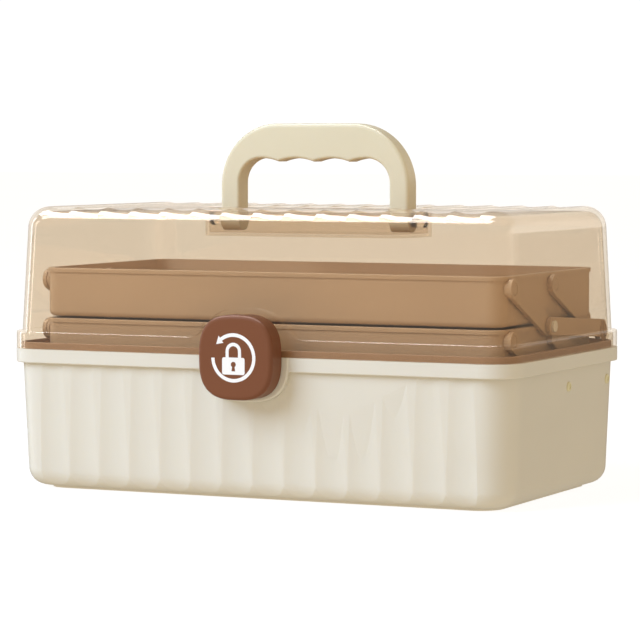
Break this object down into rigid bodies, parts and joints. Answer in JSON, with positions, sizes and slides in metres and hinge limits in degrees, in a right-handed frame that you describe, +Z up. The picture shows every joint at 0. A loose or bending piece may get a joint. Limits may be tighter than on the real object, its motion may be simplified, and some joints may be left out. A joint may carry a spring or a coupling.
{
  "type": "medicine box",
  "caption": "Carry case with a deep moulded base, tiers of swing-up trays under a tinted clear hinged lid, a turning square latch and a scalloped top handle.",
  "frame": {"origin": "middle of the resting plane under the base, midway between the ends and between the front and back rims", "axes": "+X to the right along the length, +Y towards the hinge at the back, +Z up"},
  "size_m": [0.33, 0.2102, 0.221],
  "materials": {
    "cream_plastic": "satin moulded plastic",
    "tinted_clear_plastic": "polished clear plastic with a warm tint",
    "brown_plastic": "satin moulded plastic",
    "knob_plastic": "satin moulded plastic",
    "white_print": "matt inlay",
    "pin_plastic": "satin moulded plastic",
    "steel": "drawn rod"
  },
  "bodies": {
    "base": {"base_shell": "cream_plastic", "mouth_ring": "brown_plastic", "base_pin_front_left": "pin_plastic", "base_pin_front_right": "pin_plastic", "base_pin_rear_left": "pin_plastic", "base_pin_rear_right": "pin_plastic", "hinge_rod_left": "steel", "hinge_rod_right": "steel"},
    "lid": {"lid_shell": "tinted_clear_plastic", "link_pin_left": "brown_plastic", "link_pin_right": "brown_plastic", "handle_pin_left": "cream_plastic", "handle_pin_right": "cream_plastic"},
    "handle": {"handle": "cream_plastic"},
    "latch": {"latch_knob": "knob_plastic", "latch_arrow": "white_print", "latch_lock_sign": "white_print", "latch_cam": "knob_plastic", "latch_washer": "steel", "latch_screw": "steel"},
    "lower_front_arms": {"lower_front_arm_left": "brown_plastic", "lower_front_arm_right": "brown_plastic"},
    "lower_rear_arms": {"lower_rear_arm_left": "brown_plastic", "lower_rear_arm_right": "brown_plastic"},
    "middle_tray": {"middle_tray": "brown_plastic", "middle_pin_front_left": "brown_plastic", "middle_pin_front_right": "brown_plastic", "middle_pin_rear_left": "brown_plastic", "middle_pin_rear_right": "brown_plastic", "carry_pin_front_left": "pin_plastic", "carry_pin_front_right": "pin_plastic", "carry_pin_rear_left": "brown_plastic", "carry_pin_rear_right": "brown_plastic"},
    "drive_links": {"drive_link_left": "brown_plastic", "drive_link_right": "brown_plastic"},
    "upper_front_arms": {"upper_front_arm_left": "brown_plastic", "upper_front_arm_right": "brown_plastic"},
    "upper_rear_arms": {"upper_rear_arm_left": "brown_plastic", "upper_rear_arm_right": "brown_plastic"},
    "upper_tray": {"upper_tray": "brown_plastic", "upper_pin_front_left": "brown_plastic", "upper_pin_front_right": "brown_plastic", "upper_pin_rear_left": "brown_plastic", "upper_pin_rear_right": "brown_plastic"}
  },
  "joints": [
    {"name": "lid_hinge", "type": "hinge", "parent": "base", "child": "lid", "pos_m": [0, 0.0981, 0.0824], "axis": [-1, 0, 0], "range_deg": [0, 100]},
    {"name": "handle_swing", "type": "hinge", "parent": "lid", "child": "handle", "pos_m": [0, 0, 0.1635], "axis": [1, 0, 0], "range_deg": [-50, 50]},
    {"name": "latch_turn", "type": "hinge", "parent": "base", "child": "latch", "pos_m": [-0.0016, -0.096, 0.0852], "axis": [0, -1, 0], "range_deg": [0, 90]},
    {"name": "lower_front_swing", "type": "hinge", "parent": "base", "child": "lower_front_arms", "pos_m": [0, 0.004, 0.066], "axis": [-1, 0, 0], "range_deg": [0, 50]},
    {"name": "lower_rear_swing", "type": "hinge", "parent": "base", "child": "lower_rear_arms", "pos_m": [0, 0.069, 0.066], "axis": [-1, 0, 0], "range_deg": [0, 50]},
    {"name": "middle_tray_level", "type": "hinge", "parent": "lower_rear_arms", "child": "middle_tray", "pos_m": [0, 0.0025, 0.096], "axis": [-1, 0, 0], "range_deg": [-50, 0]},
    {"name": "drive_link_swing", "type": "hinge", "parent": "middle_tray", "child": "drive_links", "pos_m": [0, -0.009, 0.1022], "axis": [-1, 0, 0], "range_deg": [0, 22.43]},
    {"name": "upper_front_swing", "type": "hinge", "parent": "middle_tray", "child": "upper_front_arms", "pos_m": [0, -0.009, 0.1022], "axis": [-1, 0, 0], "range_deg": [0, 45]},
    {"name": "upper_rear_swing", "type": "hinge", "parent": "middle_tray", "child": "upper_rear_arms", "pos_m": [0, 0.056, 0.1022], "axis": [-1, 0, 0], "range_deg": [0, 45]},
    {"name": "upper_tray_level", "type": "hinge", "parent": "upper_rear_arms", "child": "upper_tray", "pos_m": [0, 0.003, 0.1262], "axis": [-1, 0, 0], "range_deg": [-45, 0]}
  ],
  "couplings": [
    {"joint": "lower_front_swing", "follows": "lid_hinge", "ratio": 0.5},
    {"joint": "lower_rear_swing", "follows": "lid_hinge", "ratio": 0.5},
    {"joint": "middle_tray_level", "follows": "lid_hinge", "ratio": -0.5},
    {"joint": "drive_link_swing", "follows": "lid_hinge", "ratio": 0.2243},
    {"joint": "upper_front_swing", "follows": "lid_hinge", "ratio": 0.45},
    {"joint": "upper_rear_swing", "follows": "lid_hinge", "ratio": 0.45},
    {"joint": "upper_tray_level", "follows": "lid_hinge", "ratio": -0.45}
  ]
}
